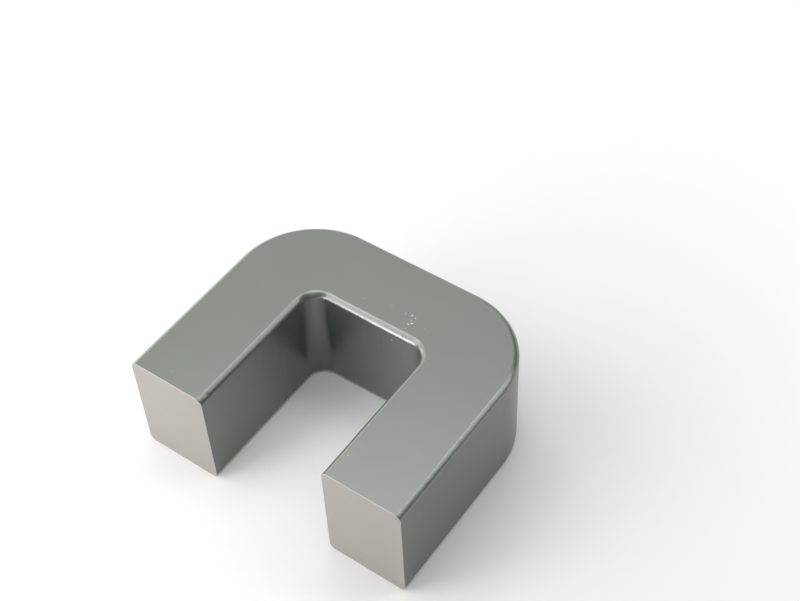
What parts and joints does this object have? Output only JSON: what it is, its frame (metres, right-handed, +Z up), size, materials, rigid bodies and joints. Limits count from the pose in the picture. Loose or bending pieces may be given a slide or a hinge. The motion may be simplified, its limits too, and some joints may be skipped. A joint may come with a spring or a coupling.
{
  "type": "ferrite u core",
  "caption": "U-shaped ferrite core with flat ground pole faces, a rounded bow and softly rounded long edges, for transformer and inductor windings.",
  "frame": {"origin": "centre of the bounding box on the broad face that the core lies on", "axes": "+X across the two legs, +Y from the pole faces towards the bow, +Z up through the thickness"},
  "size_m": [0.0798, 0.0644, 0.0313],
  "materials": {
    "ferrite": "satin"
  },
  "bodies": {
    "root": {"u_core": "ferrite"}
  },
  "joints": []
}
